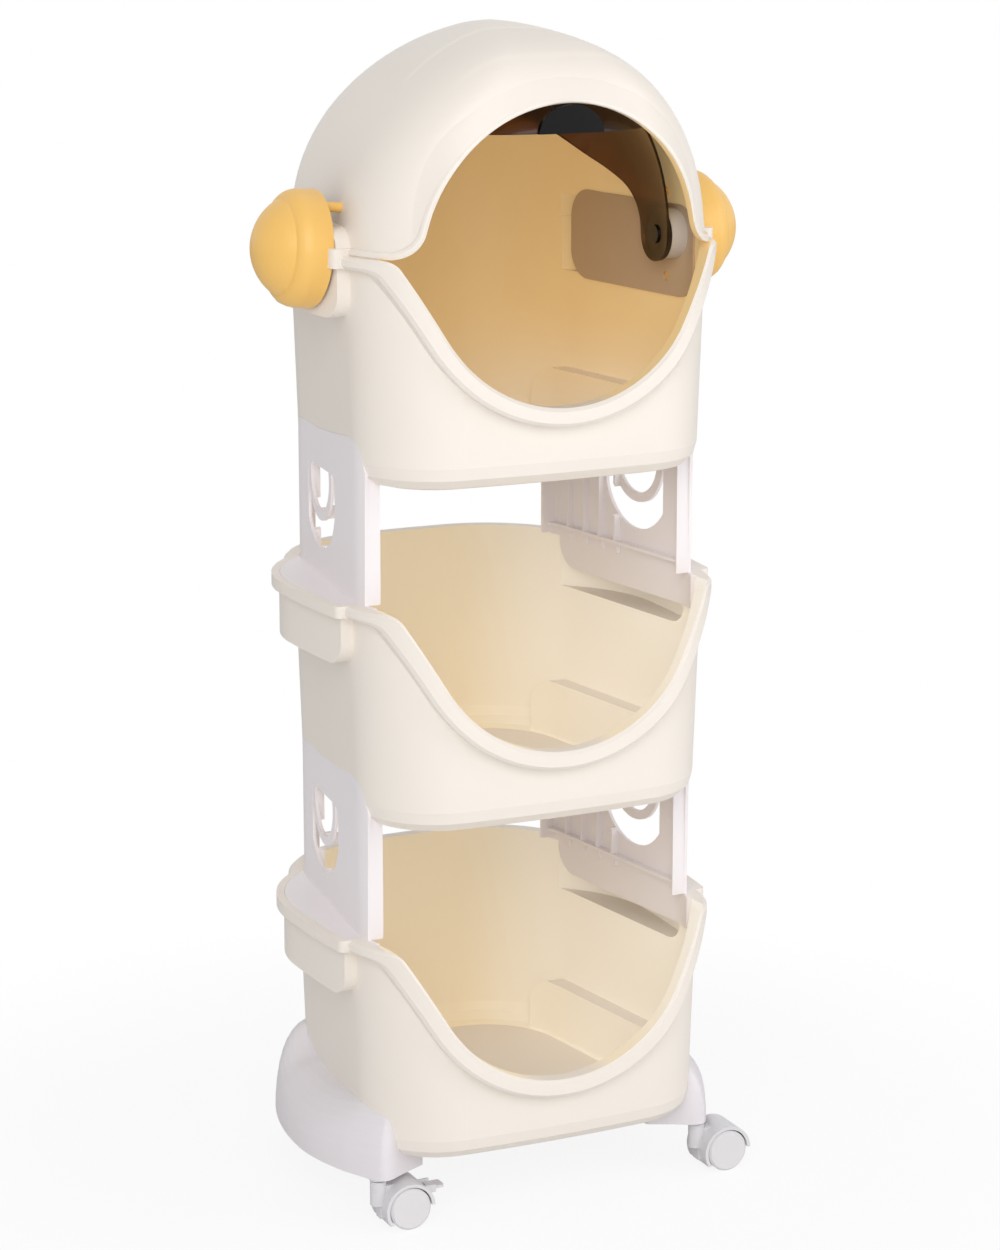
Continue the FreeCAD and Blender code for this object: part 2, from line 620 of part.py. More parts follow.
def window(flip, low):
    """The cut-out in a support: a round window with one flat side, crossed by a curved bar."""
    centre = (flip * WINDOW_Y, low + WINDOW_RISE)
    disc = rod_x(WINDOW_R, 0, REACH, *centre)
    ring = rod_x(BAR_R, 0, REACH, centre[0], centre[1] + BAR_LIFT)
    ring = ring.cut(rod_x(BAR_R - BAR_T, 0, REACH, centre[0], centre[1] + BAR_LIFT))
    near = centre[0] - flip * WINDOW_BACK
    far = centre[0] + flip * WINDOW_FLAT
    keep = slab((0, REACH), (min(near, far), max(near, far)), (low, low + WINDOW_TOP))
    return disc.cut(ring).common(keep)


def support(rim, flip):
    """One side support, drawn on the right: panel, flanges, shelf, ribs, tongue and pocket ledge."""
    low = rim + PITCH - BIN_HEIGHT
    edge = recess_outline(-SLIP, low)
    shape = edge + [(POST_FRONT_Y, rim, 0), (TONGUE_FRONT_Y, rim, 0),
                    (TONGUE_FRONT_Y, rim - TONGUE_DROP, TONGUE_CORNER_R / 3),
                    (TONGUE_BACK_Y, rim - TONGUE_DROP, TONGUE_CORNER_R), (TONGUE_BACK_Y, rim, 0),
                    (POST_BACK_Y - SLIP, rim, 0)]
    bottom, top = rim - TONGUE_DROP, low + POCKET_DEPTH
    skin = plan_solid(-POST_OUT, bottom, top).cut(plan_solid(-POST_OUT - POST_T, bottom, top))
    tongue = plan_solid(-WALL, bottom, rim).cut(plan_solid(-POST_OUT - POST_T, bottom, rim))
    body = skin.fuse(tongue).common(side_prism(shape, 0, REACH))
    flange = plan_solid(-POST_OUT, rim, top).cut(plan_solid(-POST_OUT - POST_FLANGE, rim, top))
    tall = recess_outline(-SLIP, low) + [(POST_FRONT_Y + SLIP, rim, 0), (POST_BACK_Y - SLIP, rim, 0)]
    flange = flange.common(side_prism(tall, 0, REACH))
    front = flange.common(slab((0, REACH), (POST_FRONT_Y, POST_FRONT_Y + POST_T), (rim, top)))
    back = flange.common(slab((0, REACH), (POST_BACK_Y - POST_T, POST_BACK_Y), (rim, top)))
    ribs = plan_solid(-POST_OUT, rim + SHELF_RISE, low).cut(
        plan_solid(-POST_OUT - POST_T - POST_RIB_OUT, rim + SHELF_RISE, low))
    shelf = plan_solid(-POST_OUT, rim + SHELF_RISE, rim + SHELF_RISE + SHELF_T).cut(
        plan_solid(-POST_OUT - POST_T - SHELF_OUT, rim + SHELF_RISE, rim + SHELF_RISE + SHELF_T))
    shelf = shelf.common(slab((0, REACH), (POST_FRONT_Y, POST_BACK_Y), (rim, top)))
    strips = [ribs.common(slab((0, REACH), (y, y + POST_RIB_T), (rim, top))) for y in POST_RIBS_Y]
    gussets = plan_solid(-POST_OUT, rim - LEDGE_T, rim + SHELF_RISE).cut(
        plan_solid(-POST_OUT - POST_T - POST_RIB_OUT / 2, rim - LEDGE_T, rim + SHELF_RISE))
    strips += [gussets.common(slab((0, REACH), (y, y + POST_RIB_T), (rim - LEDGE_T, top))) for y in POST_RIBS_Y]
    ledge = pocket(-LEDGE_SEAT - SLIP, rim - LEDGE_T, rim).cut(plan_solid(-POST_OUT - POST_T, rim - LEDGE_T, rim))
    body = body.fuse([front, back, shelf, ledge] + strips)
    body = body.cut(window(flip, rim)).removeSplitter()
    return sorted(body.Solids, key=lambda solid: solid.Volume)[-1]


def foot_height(y):
    """The height of the foot's top above the floor, at one place along it."""
    for (y0, z0), (y1, z1) in zip(FOOT_HEIGHT, FOOT_HEIGHT[1:]):
        if y <= y1:
            return z0 + (z1 - z0) * (y - y0) / (y1 - y0)
    return FOOT_HEIGHT[-1][1]


def foot_wire(share):
    """One band of the foot's side, at a share of the height, drawn in towards the bin's inside."""
    draw = FOOT_DRAW * (1 - (1 - share ** FOOT_POWER) ** (1 / FOOT_POWER))
    points = []
    for x, y in FOOT_PLAN:
        spine = max(-FOOT_SPINE_HALF, min(FOOT_SPINE_HALF, y))
        z = FOOT_LOW + (foot_height(y) - FOOT_LOW) * share
        points.append(vec(x + (FOOT_INNER_X - x) * draw, y + (spine - y) * draw, z))
    curve = Part.BSplineCurve()
    curve.interpolate(Points=points, PeriodicFlag=True, Parameters=[float(i) for i in range(len(points) + 1)])
    return Part.Wire(curve.toShape())


def foot():
    """The right side foot: a rounded skirt that bulges out past the bottom bin and plugs its recess."""
    low = RIM_1 - BIN_HEIGHT
    wires = [foot_wire(share) for share in FOOT_STEPS]
    wires.append(Part.Vertex(FOOT_INNER_X + FOOT_SHELL, 0, FOOT_HEIGHT[0][1]))
    hollow = bulge(FOOT_HOLLOW_PEAK, FOOT_HOLLOW_Y, FOOT_HOLLOW_BOW_R, FOOT_HOLLOW_BOW_R, FOOT_HOLLOW_FRONT_Y,
                   FOOT_HOLLOW_BACK_Y, FOOT_INNER_X + FOOT_SHELL, 0, FOOT_LOW - SLIP, FOOT_HOLLOW_TOP)
    away = tub(0, RIM_1, low, BASE_R).cut(recess(-SLIP, low, RECESS_IN - SLIP, -FOOT_SHELL))
    body = Part.makeLoft(wires, True, True).cut([away, hollow])
    for x, y in (STEM_FRONT, STEM_REAR):
        body = body.cut(rod_z(SOCKET_R, FOOT_LOW - SLIP, SOCKET_HIGH, x, y))
    return sorted(body.removeSplitter().Solids, key=lambda solid: solid.Volume)[-1]


def socket(x, y):
    """A sleeve in the foot that the caster's stem turns in."""
    body = rod_z(SOCKET_R, SOCKET_LOW, SOCKET_HIGH, x, y).fuse(rod_z(SOCKET_FLANGE_R, SOCKET_LOW, FOOT_LOW, x, y))
    return body.cut(rod_z(STEM_R + TURN_SLIP, SOCKET_LOW, STEM_TOP + FOOT_SHELL / 2, x, y)).removeSplitter()


def stem(x, y):
    """A plain steel stem with a collar under the socket."""
    return rod_z(STEM_R, STEM_LOW, STEM_TOP, x, y)


def lever_ears(x, y, toe):
    """Two small ears behind the hood's cover that hold the brake lever's pin."""
    px = x + toe * (TRAIL + LEVER_X)
    near, far = sorted((px - toe * EAR_REACH, px + toe * EAR_HALF_TALL))
    ears = []
    for side in (-1, 1):
        low, high = sorted((y + side * EAR_IN, y + side * EAR_OUT))
        ears.append(slab((near, far), (low, high), (LEVER_Z - EAR_HALF_TALL, LEVER_Z + EAR_HALF_TALL)))
    both = ears[0].fuse(ears[1]).cut(rod_y(HOOD_IN_R, y - HOOD_HALF, y + HOOD_HALF, x + toe * TRAIL, WHEEL_R))
    return both.cut(rod_y(LEVER_PIN_R + TURN_SLIP, y - EAR_OUT, y + EAR_OUT, px, LEVER_Z))


def hood(x, y, toe, braked):
    """The caster's hood: a web between the wheels, a curved cover over them and the boss for the stem."""
    wx = x + toe * TRAIL
    web = rod_y(HOOD_OUT_R, y - HOOD_WEB, y + HOOD_WEB, wx, WHEEL_R)
    web = web.common(slab((wx - HOOD_OUT_R, wx + HOOD_OUT_R), (y - HOOD_WEB, y + HOOD_WEB), (HOOD_LOW, HOOD_TOP)))
    cover = rod_y(HOOD_OUT_R, y - HOOD_HALF, y + HOOD_HALF, wx, WHEEL_R)
    cover = cover.cut(rod_y(HOOD_IN_R, y - HOOD_HALF, y + HOOD_HALF, wx, WHEEL_R))
    width = (y - HOOD_HALF, y + HOOD_HALF)
    front_half = slab(sorted((wx - toe * HOOD_OUT_R, wx)), width, (HOOD_FRONT_LOW, HOOD_TOP))
    back_half = slab(sorted((wx, wx + toe * HOOD_OUT_R)), width, (HOOD_BACK_LOW, HOOD_TOP))
    cover = cover.common(front_half.fuse(back_half))
    near, far = sorted((x, wx - toe * HOOD_BOSS_R))
    neck = slab((near, far), (y - HOOD_WEB, y + HOOD_WEB), (HOOD_LOW, HOOD_TOP - HOOD_WEB))
    space = rod_y(HOOD_IN_R, y + HOOD_WEB, y + HOOD_HALF, wx, WHEEL_R)
    space = space.fuse(rod_y(HOOD_IN_R, y - HOOD_HALF, y - HOOD_WEB, wx, WHEEL_R))
    boss = rod_z(HOOD_BOSS_R, STEM_LOW - HOOD_WEB, HOOD_TOP, x, y).cut(space)
    pieces = [cover, neck, boss] + ([lever_ears(x, y, toe)] if braked else [])
    body = web.fuse(pieces).cut(rod_z(STEM_R, STEM_LOW, HOOD_TOP, x, y))
    return body.cut(rod_y(AXLE_R, y - HOOD_WEB, y + HOOD_WEB, wx, WHEEL_R)).removeSplitter()


def wheel(wx, y, side):
    """One of a twin pair of wheels, with bevelled edges and a blind bore for the axle."""
    near, far = sorted((y + side * WHEEL_IN, y + side * WHEEL_OUT))
    body = rod_y(WHEEL_R, near, far, wx, WHEEL_R)
    body = body.makeChamfer(WHEEL_BEVEL, [e for e in body.Edges if e.BoundBox.YLength < SLIP])
    bore_near, bore_far = sorted((y + side * WHEEL_IN, y + side * (AXLE_HALF + TURN_SLIP)))
    return body.cut(rod_y(AXLE_R + TURN_SLIP, bore_near, bore_far, wx, WHEEL_R))


def axle(wx, y):
    """The steel axle through the web, with a wheel on each end."""
    return rod_y(AXLE_R, y - AXLE_HALF, y + AXLE_HALF, wx, WHEEL_R)


def lever(x, y, toe):
    """A brake lever behind the hood's top, with its pin across the hood."""
    px = x + toe * (TRAIL + LEVER_X)
    near, far = sorted((px, px + toe * LEVER_LONG))
    blade = slab((near, far), (y - LEVER_HALF, y + LEVER_HALF), (LEVER_Z - LEVER_T / 2, LEVER_Z + LEVER_T / 2))
    blade = blade.makeFillet(LEVER_T, [e for e in blade.Edges if e.BoundBox.ZLength > LEVER_T - SLIP
                                       and abs(e.BoundBox.XMin - px) > SLIP])
    knuckle = rod_y(KNUCKLE_R, y - LEVER_HALF, y + LEVER_HALF, px, LEVER_Z)
    return blade.fuse([knuckle, rod_y(LEVER_PIN_R, y - EAR_OUT, y + EAR_OUT, px, LEVER_Z)]).removeSplitter()


def build_parts():
    """Every node of the unit, by name."""
    top = RIM_1 + 2 * PITCH
    outer, inner = dome_parts(top)
    parts = {name: bin_body(RIM_1 + PITCH * tier, tier == len(TIER_NAMES) - 1)
             for tier, name in enumerate(TIER_NAMES)}
    parts["helmet_dome"] = dome_body(outer, inner, top)
    parts["visor"] = visor_body()
    plates = plan_solid(-WALL, PLATE_LOW, top).fuse(dome_solid(-WALL - DOME_GAP, top))
    near_ear = [tub(0, top, top - BIN_HEIGHT, BASE_R), pocket(0, top - POCKET_DEPTH, top), outer,
                lip(top, -1, SCOOP, LIP_OUT, LIP_TALL, LIP_WIDE, LIP_HEEL_R, LIP_BEVEL), dome_solid(DOME_GAP, top),
                pocket(POCKET_LIP, top - LIP_TALL, top, POCKET_NOSE_R)]
    right = {"ear_cap": ear_cap(near_ear), "seam_plate": seam_plate(plates), "visor_boss": visor_boss(),
             "visor_pin": visor_pin(), "visor_washer": visor_washer(), "side_foot": foot()}
    for name, shape in right.items():
        parts[name + "_right"] = shape
        parts[name + "_left"] = mirrored(shape)
    for tier, name in enumerate(("lower_support", "upper_support")):
        rim = RIM_1 + PITCH * tier
        parts[name + "_right"] = support(rim, -1)
        parts[name + "_left"] = mirrored(support(rim, 1))
    for row, (x, y) in (("front", STEM_FRONT), ("rear", STEM_REAR)):
        for side_name, side in (("left", -1), ("right", 1)):
            tag = row + "_" + side_name
            parts["socket_" + tag] = socket(side * x, y)
            parts["stem_" + tag] = stem(side * x, y)
            parts["hood_" + tag] = hood(side * x, y, 1, tag in BRAKED)
            parts["axle_" + tag] = axle(side * x + TRAIL, y)
            parts["wheel_" + tag + "_a"] = wheel(side * x + TRAIL, y, -1)
            parts["wheel_" + tag + "_b"] = wheel(side * x + TRAIL, y, 1)
            if tag in BRAKED:
                parts["brake_lever_" + tag] = lever(side * x, y, 1)
    return parts


def main():
    os.makedirs("parts", exist_ok=True)
    for name, shape in build_parts().items():
        if not shape.isValid() or len(shape.Solids) != 1:
            raise ValueError(name + " isn't one sound solid")
        shape.Solids[0].exportStep("parts/" + name + ".step")


main()
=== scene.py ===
import json
import math

import bpy
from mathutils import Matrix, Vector


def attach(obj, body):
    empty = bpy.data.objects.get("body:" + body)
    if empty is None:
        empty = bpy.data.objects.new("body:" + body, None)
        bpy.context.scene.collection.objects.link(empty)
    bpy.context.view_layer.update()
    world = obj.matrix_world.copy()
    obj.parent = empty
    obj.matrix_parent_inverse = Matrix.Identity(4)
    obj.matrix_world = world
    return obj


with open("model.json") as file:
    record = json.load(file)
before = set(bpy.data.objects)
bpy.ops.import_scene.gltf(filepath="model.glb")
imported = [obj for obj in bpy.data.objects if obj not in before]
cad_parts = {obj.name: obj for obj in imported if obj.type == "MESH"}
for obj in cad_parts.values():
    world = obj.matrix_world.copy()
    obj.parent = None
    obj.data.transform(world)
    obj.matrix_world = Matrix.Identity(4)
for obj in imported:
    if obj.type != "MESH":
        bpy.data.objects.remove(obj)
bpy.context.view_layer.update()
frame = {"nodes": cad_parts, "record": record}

# Lengths are in metres. A pair of colours is two screen colours, 0 to 255, that a surface
# drifts between.

# Relief on the dome's crown
CROWN_STEP_Y = 0.071
CROWN_STEP = 0.0042
CROWN_EDGE = 0.006
CROWN_FADE = (-0.02, 0.10)
BROW_STEP_Y = 0.150
BROW_STEP = 0.0012
BROW_EDGE = 0.005
BROW_FADE_START = 0.01
CROWN_Z = (1.030, 1.064)

# The dome's front face, as in the solid
RIM_Z = 0.8945
DOME_RISE = 0.194
HALF_DEPTH = 0.1803
FRONT_BOW_R = 1.5
FRONT_CORNER_R = 0.079
CORNER_TURN = 0.06385
SIDE_POWERS = (2.164, 0.6)
FRONT_POWERS = (10, 0.5556)
DOME_SHIFT = -0.026
SHIFT_POWER = 1.88

# The dome's opening, as in the solid
OPENING_R = 0.1315
OPENING_LEAN = math.radians(14.0)
SHOULDER_R = 0.030
SHOULDER_STEPS = 8
FLANK_STEPS = 3
ARC_STEPS = 44
QUARTER = math.radians(90)

# The flared lip round the opening; its section runs outwards from the edge, in shares of its
# width and height
LIP_OUT = 0.0051
FLARE_WIDE = 0.024
FLARE_END = 0.006
FLARE_RUN = 0.55
FLARE_LIFT = 0.0004
FLARE_SECTION = [
    (-0.012, 0.0), (-0.012, 0.82), (0.01, 0.96), (0.05, 1.0), (0.11, 0.97), (0.2, 0.80),
    (0.32, 0.58), (0.46, 0.37), (0.62, 0.19), (0.8, 0.06), (1.0, -0.04),
]

# Noise as scale, detail and roughness
DRIFT = (7.0, 3.0, 0.5)
SHELL_DRIFT = (5.0, 3.0, 0.5)
FLOW = (26.0, 2.0, 0.5)
GRAIN = (900.0, 2.0, 0.6)
STREAKS = (40.0, 2.0, 0.5)
DRAWN_LINES = (1400.0, 2.0, 0.5)
SPECKS = (3.0, 2.0, 0.5)

# Moulded plastic: how far grain and flow marks change the roughness, and how deep the grain is
PLASTIC_IOR = 1.46
GRAIN_SHEEN = 0.12
FLOW_SHEEN = 0.06
GRAIN_DEPTH = 0.00006
GRAIN_STRENGTH = 0.35

# Cream shells. Their inner faces carry painted shade: warm in the bins, a painted lit pale tone on
# the bins' right inner walls, and the deepest painted shade under the dome
SHELL_OUTSIDE = ((245, 237, 228), (241, 233, 223))
SHELL_INNER_SHADE = ((249, 235, 207), (247, 230, 200))
SHELL_INNER_LIT = (253, 248, 239)
SHELL_SHADED = ((248, 217, 162), (244, 211, 154))
# Masks for the painted light and shade: where a face turns inwards, where the lit inner wall begins
# across the bins, and the height where the deeper painted shade under the dome begins
INNER_TURN = (0.0, 0.02)
LIT_WALL_X = (0.05, 0.15)
UNDER_DOME_Z = (0.66, 0.82)
SHELL_ROUGHNESS = 0.42
SHELL_SHEEN = 0.14
SHELL_GRAIN_DEPTH = 0.00005
SHELL_GRAIN_STRENGTH = 0.3

# Painted glow: an emission on the inner faces that stands in for light the thin cream walls let
# through
NO_GLOW = (0.0, 0.0, 0.0)
GLOW_BIN = (0.110, 0.098, 0.072)
GLOW_DOME = (0.125, 0.104, 0.054)

# Smoked visor
SMOKE = ((104, 68, 42), (94, 61, 38))
TAB_COLOUR = (34, 36, 46)
TAB_FRONT = (0.1845, 0.1853)
VISOR_ROUGHNESS = 0.06
VISOR_SHEEN = 0.04
VISOR_CLEAR = 0.92
VISOR_IOR = 1.49

# Drawn steel
STEEL = ((196, 196, 200), (150, 150, 156))
STEEL_ROUGHNESS = 0.28
STEEL_SHEEN = 0.15

# The camera at the photographed angle
LENS = 99.42
SENSOR_WIDE = 36.0
CAMERA_PLACE = (-1.3378, -2.8630, 1.2740)
CAMERA_TURN = 0.443299
CAMERA_TIP = 0.232749

# Studio lamps: place, point aimed at, size and power
LAMPS = {
    "key": ((-1.6, -2.6, 2.0), (0.0, 0.0, 0.5), 2.2, 48.0),
    "fill": ((2.4, -2.2, 1.4), (0.0, 0.0, 0.6), 2.4, 33.0),
    "top": ((0.2, 0.4, 3.2), (0.0, 0.0, 0.6), 2.0, 5.0),
}
WHITE = (1.0, 1.0, 1.0)
SURROUND_LIT = 0.47
SURROUND_SEEN = 1.0

# Floor: its half width, how much white covers it near the object, and where it turns all white
FLOOR_REACH = 14.0
FLOOR = ((246, 246, 246), (242, 242, 243))
FLOOR_ROUGHNESS = 0.9
FLOOR_COVER = 0.88
FLOOR_FAR = (0.08, 0.6)


class Signal:
    """A value in a shader; arithmetic on it adds Math nodes to its finish."""

    def __init__(self, finish, socket):
        self.finish = finish
        self.socket = socket

    def math(self, operation, *values):
        settings = {"operation": operation}
        return self.finish.make("ShaderNodeMath", settings, dict(enumerate(values)))[0]

    def __add__(self, other):
        return self.math("ADD", self, other)

    __radd__ = __add__

    def __sub__(self, other):
        return self.math("SUBTRACT", self, other)

    def __rsub__(self, other):
        return self.math("SUBTRACT", other, self)

    def __mul__(self, other):
        return self.math("MULTIPLY", self, other)

    __rmul__ = __mul__

    def above(self, low, high):
        """Rises smoothly from 0 at low to 1 at high."""
        settings = {"interpolation_type": "SMOOTHSTEP"}
        return self.finish.make("ShaderNodeMapRange", settings, {0: self, 1: low, 2: high})[0]


class Finish:
    """A named procedural material with one Principled shader."""

    def __init__(self, name):
        self.material = bpy.data.materials.new(name)
        self.material.use_nodes = True
        self.tree = self.material.node_tree
        self.shader = self.tree.nodes["Principled BSDF"]
        self.output = self.tree.nodes["Material Output"]

    def make(self, kind, settings=None, inputs=None):
        """Adds a node, sets it up, fills its sockets and returns its outputs as signals."""
        node = self.tree.nodes.new(kind)
        for key, value in (settings or {}).items():
            setattr(node, key, value)
        self.fill(node, inputs or {})
        return [Signal(self, socket) for socket in node.outputs]

    def fill(self, node, inputs):
        """Links signals to a node's sockets and sets plain values on them."""
        for key, value in inputs.items():
            if isinstance(value, Signal):
                self.tree.links.new(value.socket, node.inputs[key])
            elif node.inputs[key].type == "RGBA":
                node.inputs[key].default_value = (*value, 1.0)
            else:
                node.inputs[key].default_value = value

    def place(self):
        """Position in the piece's own frame, which moves with the piece."""
        return self.make("ShaderNodeTexCoord")[3]

    def parts(self, vector):
        """The x, y and z of a vector."""
        return self.make("ShaderNodeSeparateXYZ", {}, {0: vector})

    def noise(self, scale, detail, roughness):
        """Even noise from 0 to 1 in the piece's own frame."""
        inputs = {"Vector": self.place(), "Scale": scale, "Detail": detail, "Roughness": roughness}
        return self.make("ShaderNodeTexNoise", {}, inputs)[0]

    def blend(self, factor, first, second):
        """A colour that goes from first to second as the factor goes from 0 to 1."""
        inputs = {0: factor, 6: first, 7: second}
        return self.make("ShaderNodeMix", {"data_type": "RGBA"}, inputs)[2]

    def tones(self, factor, pair):
        """A blend of two screen colours."""
        return self.blend(factor, linear(*pair[0]), linear(*pair[1]))

    def bump(self, height, distance, strength=1.0, normal=None):
        """A normal that follows a height, laid over another normal if one is given."""
        inputs = {"Height": height, "Distance": distance, "Strength": strength}
        if normal:
            inputs["Normal"] = normal
        return self.make("ShaderNodeBump", {}, inputs)[0]

    def set(self, **values):
        """Fills sockets of the Principled shader."""
        self.fill(self.shader, {key.replace("_", " "): value for key, value in values.items()})


def linear(red, green, blue):
    """Screen colour, 0 to 255, as the shader's linear colour."""
    channels = []
    for channel in (red, green, blue):
        share = channel / 255
        channels.append(share / 12.92 if share <= 0.04045 else ((share + 0.055) / 1.055) ** 2.4)
    return tuple(channels)


def moulded(name, pair, roughness):
    """Satin moulded plastic: faint colour drift, fine mould grain and soft sheen changes."""
    finish = Finish(name)
    drift = finish.noise(*DRIFT)
    fine = finish.noise(*GRAIN)
    flow = finish.noise(*FLOW)
    sheen = roughness + (fine - 0.5) * GRAIN_SHEEN + (flow - 0.5) * FLOW_SHEEN
    finish.set(Base_Color=finish.tones(drift, pair), Roughness=sheen, IOR=PLASTIC_IOR,
               Normal=finish.bump(fine, GRAIN_DEPTH, GRAIN_STRENGTH))
    return finish


def cream_finish(name):
    """Cream shells: cool white outside; painted shade makes every inner face deeper and warmer,
    with a painted lit pale tone on the bins' right inner walls.
    """
    finish = Finish(name)
    x, y, z = finish.parts(finish.place())
    normal = finish.make("ShaderNodeNewGeometry")[1]
    normal_x, normal_y = finish.parts(normal)[:2]
    inner = ((x * normal_x + y * normal_y) * -1.0).above(*INNER_TURN)
    under_dome = z.above(*UNDER_DOME_Z)
    drift = finish.noise(*SHELL_DRIFT)
    fine = finish.noise(*GRAIN)
    outside = finish.tones(drift, SHELL_OUTSIDE)
    # Painted light and shade in the open bins: pale where the right inner wall is lit, warm shade
    # elsewhere
    bin_light_and_shade = finish.blend(x.above(*LIT_WALL_X), finish.tones(drift, SHELL_INNER_SHADE), linear(*SHELL_INNER_LIT))
    # Painted shade, deepest on the inner faces under the dome
    inside = finish.blend(under_dome, bin_light_and_shade, finish.tones(drift, SHELL_SHADED))
    # Painted glow on the inner faces, stronger and warmer under the dome
    glow = finish.blend(under_dome, GLOW_BIN, GLOW_DOME)
    finish.grain = finish.bump(fine, SHELL_GRAIN_DEPTH, SHELL_GRAIN_STRENGTH)
    finish.set(Base_Color=finish.blend(inner, outside, inside), Normal=finish.grain,
               Roughness=SHELL_ROUGHNESS + (fine - 0.5) * SHELL_SHEEN, IOR=PLASTIC_IOR,
               Emission_Color=finish.blend(inner, NO_GLOW, glow), Emission_Strength=1.0)
    return finish


def dome_finish():
    """The dome: the cream shell with the step that crosses its crown and a fainter one in front."""
    finish = cream_finish("dome_moulded")
    _, y, z = finish.parts(finish.place())
    crown = z.above(*CROWN_Z)
    step = (y + CROWN_STEP_Y).above(-CROWN_EDGE, CROWN_EDGE) * (1.0 - y.above(*CROWN_FADE)) * crown
    fade = 1.0 - y.above(BROW_FADE_START - BROW_STEP_Y, -CROWN_STEP_Y)
    faint = (y + BROW_STEP_Y).above(-BROW_EDGE, BROW_EDGE) * fade * crown
    relief = step * CROWN_STEP + faint * BROW_STEP
    finish.set(Normal=finish.bump(relief, 1.0, 1.0, finish.grain))
    return finish


def visor_finish():
    """Smoked clear plastic, near black on the finger tab."""
    finish = Finish("smoked_visor")
    y = finish.parts(finish.place())[1]
    tab = (y * -1.0).above(*TAB_FRONT)
    streak = finish.noise(*STREAKS)
    finish.set(Base_Color=finish.blend(tab, finish.tones(streak, SMOKE), linear(*TAB_COLOUR)),
               Roughness=VISOR_ROUGHNESS + streak * VISOR_SHEEN,
               Transmission_Weight=VISOR_CLEAR, IOR=VISOR_IOR)
    return finish


def steel_finish():
    """Plain drawn steel with fine marks."""
    finish = Finish("plain_steel")
    marks = finish.noise(*DRAWN_LINES)
    finish.set(Base_Color=finish.tones(marks, STEEL), Metallic=1.0,
               Roughness=STEEL_ROUGHNESS + marks * STEEL_SHEEN)
    return finish


def floor_finish():
    """Pale floor that reads near white to the camera, and all white further from the object."""
    finish = Finish("pale_floor")
    x, y = finish.parts(finish.place())[:2]
    far = (x * x + y * y).above(*FLOOR_FAR)
    seen = finish.make("ShaderNodeLightPath")[0]
    finish.set(Base_Color=finish.tones(finish.noise(*SPECKS), FLOOR), Roughness=FLOOR_ROUGHNESS,
               Specular_IOR_Level=0.0)
    glow = finish.make("ShaderNodeEmission", {}, {"Color": WHITE, "Strength": 1.0})[0]
    share = seen * (far * (1.0 - FLOOR_COVER) + FLOOR_COVER)
    lit = Signal(finish, finish.shader.outputs[0])
    mixed = finish.make("ShaderNodeMixShader", {}, {0: share, 1: lit, 2: glow})[0]
    finish.tree.links.new(mixed.socket, finish.output.inputs["Surface"])
    return finish


FINISHES = {
    "cream_shell": cream_finish("cream_moulded"),
    "dome": dome_finish(),
    "smoked_visor": visor_finish(),
    "ear_orange": moulded("orange_moulded", ((250, 202, 114), (246, 195, 104)), 0.38),
    "taupe_plate": moulded("taupe_moulded", ((204, 180, 152), (196, 172, 144)), 0.45),
    "boss_grey": moulded("grey_moulded", ((214, 210, 206), (206, 202, 199)), 0.3),
    "dark_trim": moulded("black_moulded", ((22, 20, 22), (30, 27, 28)), 0.18),
    "lavender_frame": moulded("lavender_moulded", ((235, 230, 233), (230, 225, 229)), 0.45),
    # A lighter copy of the lavender: painted light on the supports, which sit in shade under the
    # bins
    "support": moulded("support_lightened_moulded", ((248, 242, 243), (243, 237, 239)), 0.45),
    "caster_grey": moulded("caster_moulded", ((226, 224, 226), (219, 218, 221)), 0.36),
    "caster_steel": steel_finish(),
    "wheel_pale": moulded("wheel_moulded", ((230, 227, 229), (223, 220, 223)), 0.5),
}


# Nodes whose finish differs from their slot's; the supports get a lighter copy of the lavender,
# painted light that offsets the shade they sit in under the bins
SPECIAL = {
    "helmet_dome": "dome",
    "lower_support_left": "support",
    "lower_support_right": "support",
    "upper_support_left": "support",
    "upper_support_right": "support",
}


def front_plan(x, out):
    """How far forward the plan outline, moved out, lies at a distance from the middle."""
    across = abs(x)
    if across < FRONT_BOW_R * math.sin(CORNER_TURN):
        return FRONT_BOW_R - HALF_DEPTH - math.sqrt((FRONT_BOW_R + out) ** 2 - across ** 2)
    reach = FRONT_BOW_R - FRONT_CORNER_R
    centre_y = FRONT_BOW_R - HALF_DEPTH - reach * math.cos(CORNER_TURN)
    beyond = min(across - reach * math.sin(CORNER_TURN), FRONT_CORNER_R + out)
    return centre_y - math.sqrt((FRONT_CORNER_R + out) ** 2 - beyond ** 2)


def dome_front(x, z):
    """How far forward the dome's outer face lies at a place of the front view."""
    share = max(z - RIM_Z, 0.0) / DOME_RISE
    side = (1 - share ** SIDE_POWERS[0]) ** SIDE_POWERS[1]
    front = (1 - share ** FRONT_POWERS[0]) ** FRONT_POWERS[1]
    shift = DOME_SHIFT * share ** SHIFT_POWER
    return front_plan(x / side, 0.0) * (front + shift / HALF_DEPTH) + shift


